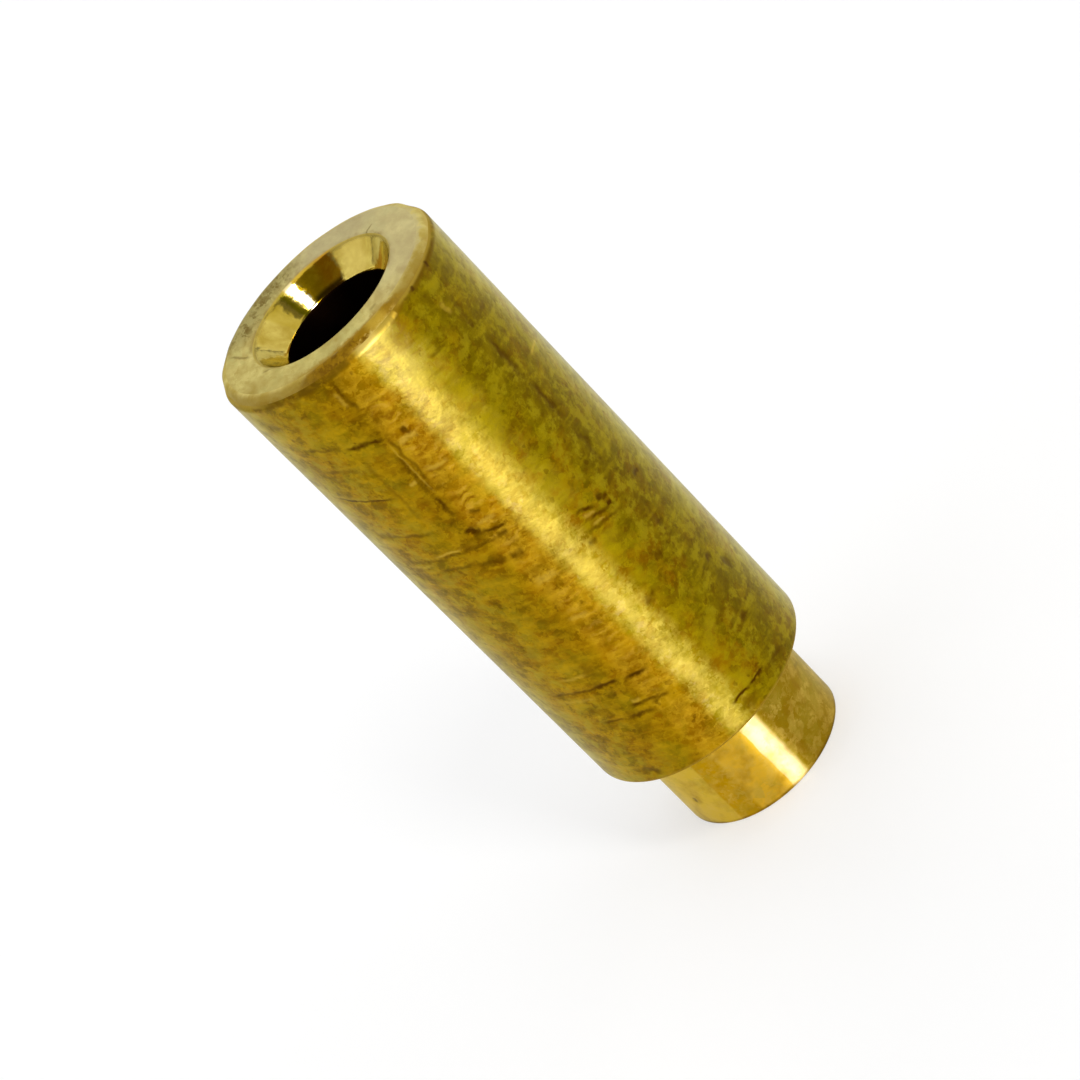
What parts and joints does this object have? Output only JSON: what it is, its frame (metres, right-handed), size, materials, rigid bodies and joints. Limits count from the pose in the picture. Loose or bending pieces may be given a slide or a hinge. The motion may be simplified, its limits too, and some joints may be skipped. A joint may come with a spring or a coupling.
{
  "type": "swage spacer",
  "caption": "Round turned brass spacer with a stepped-down swage shank at one end, a plain through bore and a countersunk mouth at the other end.",
  "frame": {"origin": "centre of the shoulder that seats on the panel, on the axis", "axes": "+Z along the axis, from the shank to the countersunk end"},
  "size_m": [0.0064, 0.0064, 0.0173],
  "materials": {
    "brass": "turned from bar and tarnished, with fine marks round the body, a paler end face and a smoother shank and countersink"
  },
  "bodies": {
    "root": {"spacer": "brass"}
  },
  "joints": []
}
